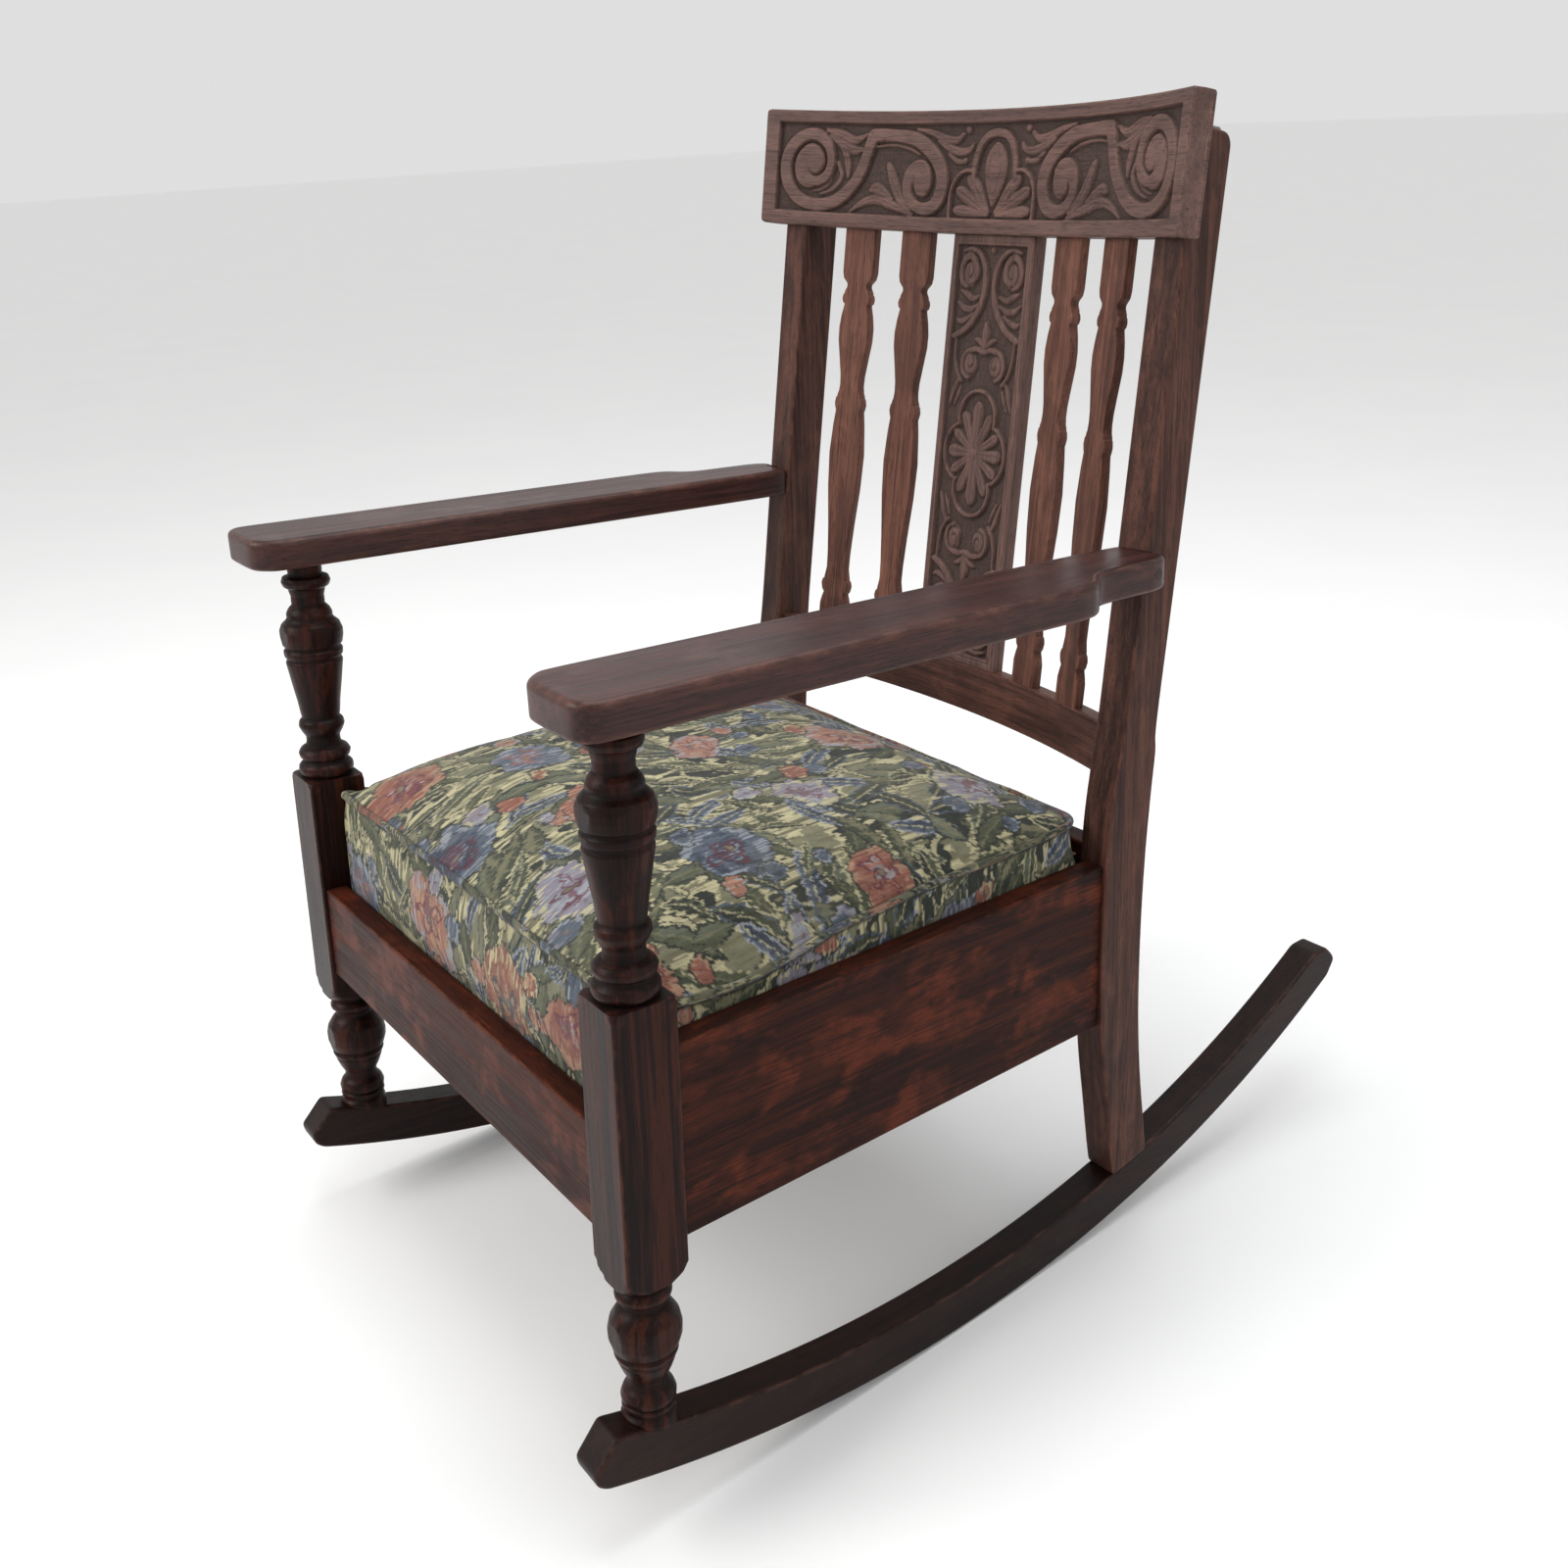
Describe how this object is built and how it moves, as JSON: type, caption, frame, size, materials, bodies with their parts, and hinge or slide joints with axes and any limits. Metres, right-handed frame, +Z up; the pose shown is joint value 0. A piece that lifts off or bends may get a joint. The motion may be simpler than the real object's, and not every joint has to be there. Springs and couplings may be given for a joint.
{
  "type": "rocking chair",
  "caption": "Dark oak rocking chair on curved runners, with turned front posts, a carved crest and splat, shaped slats and a sprung floral seat.",
  "frame": {"origin": "centre of the bounding box, on the floor", "axes": "+X towards the sitter's left, -Y the way the sitter faces, +Z up; the chair stands at rest with its weight over the runners' point of contact"},
  "size_m": [0.683, 0.9065, 1.014],
  "materials": {
    "stained_oak": "satin",
    "plain_wood": "raw",
    "tapestry": "woven",
    "welt_cord": "woven",
    "jute": "woven",
    "padding": "soft",
    "spring_steel": "oiled",
    "dust_cloth": "woven"
  },
  "bodies": {
    "chair_frame": {"runner_left": "stained_oak", "runner_right": "stained_oak", "front_post_left": "stained_oak", "front_post_right": "stained_oak", "rear_post_left": "stained_oak", "rear_post_right": "stained_oak", "arm_left": "stained_oak", "arm_right": "stained_oak", "front_seat_rail": "stained_oak", "side_seat_rail_left": "stained_oak", "side_seat_rail_right": "stained_oak", "back_seat_rail": "stained_oak", "crest_rail": "stained_oak", "lower_back_rail": "stained_oak", "carved_splat": "stained_oak", "slat_outer_left": "stained_oak", "slat_inner_left": "stained_oak", "slat_inner_right": "stained_oak", "slat_outer_right": "stained_oak", "cleat_left": "plain_wood", "cleat_right": "plain_wood", "cleat_front": "plain_wood", "cleat_back": "plain_wood", "corner_blocks": "plain_wood", "draw_pins": "stained_oak", "crest_screws": "spring_steel", "arm_screws": "spring_steel", "arm_plugs": "stained_oak", "cleat_screws": "spring_steel"},
    "drop_in_seat": {"seat_frame_front": "plain_wood", "seat_frame_back": "plain_wood", "seat_frame_left": "plain_wood", "seat_frame_right": "plain_wood", "webbing_lengthwise": "jute", "webbing_crosswise": "jute", "coil_springs": "spring_steel", "spring_burlap": "jute", "stuffing_pad": "padding", "seat_cover_top": "tapestry", "seat_boxing": "tapestry", "seat_welt": "welt_cord", "dust_cover": "dust_cloth"}
  },
  "joints": [
    {"name": "seat_lift", "type": "slide", "parent": "chair_frame", "child": "drop_in_seat", "axis": [0, 0.0708, 0.9975], "range_m": [0, 0.12]}
  ]
}
